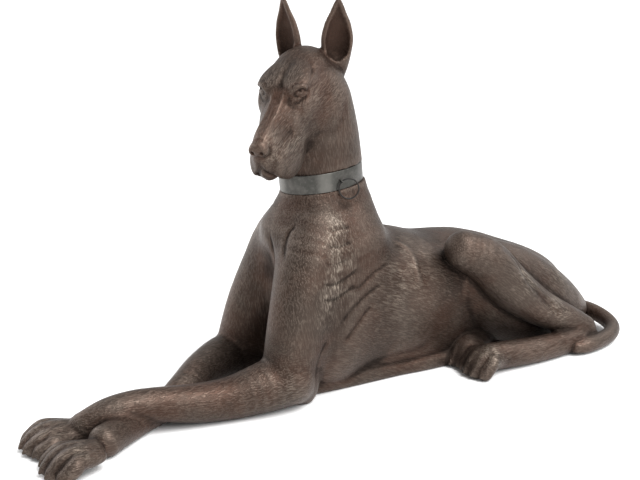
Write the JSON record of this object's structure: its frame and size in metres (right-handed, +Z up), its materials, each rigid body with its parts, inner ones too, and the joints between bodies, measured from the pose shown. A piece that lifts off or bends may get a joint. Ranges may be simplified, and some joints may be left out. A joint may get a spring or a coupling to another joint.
{
  "type": "dog statue",
  "caption": "Life-size bronze great dane statue lying with its head up, wearing a metal collar with a wire ring.",
  "frame": {"origin": "on the ground at the middle of the plan of the whole statue", "axes": "+Z up, -Y the way the dog's body points, +X the dog's left"},
  "size_m": [0.4624, 1.597, 0.9038],
  "materials": {
    "bronze": "dark brown patina on cast bronze, hair strokes chased in the surface",
    "collar_metal": "grey-green weathered metal, satin",
    "ring_wire": "dark, worn"
  },
  "bodies": {
    "root": {"dog_figure": "bronze", "collar_band": "collar_metal", "collar_ring": "ring_wire"}
  },
  "joints": []
}
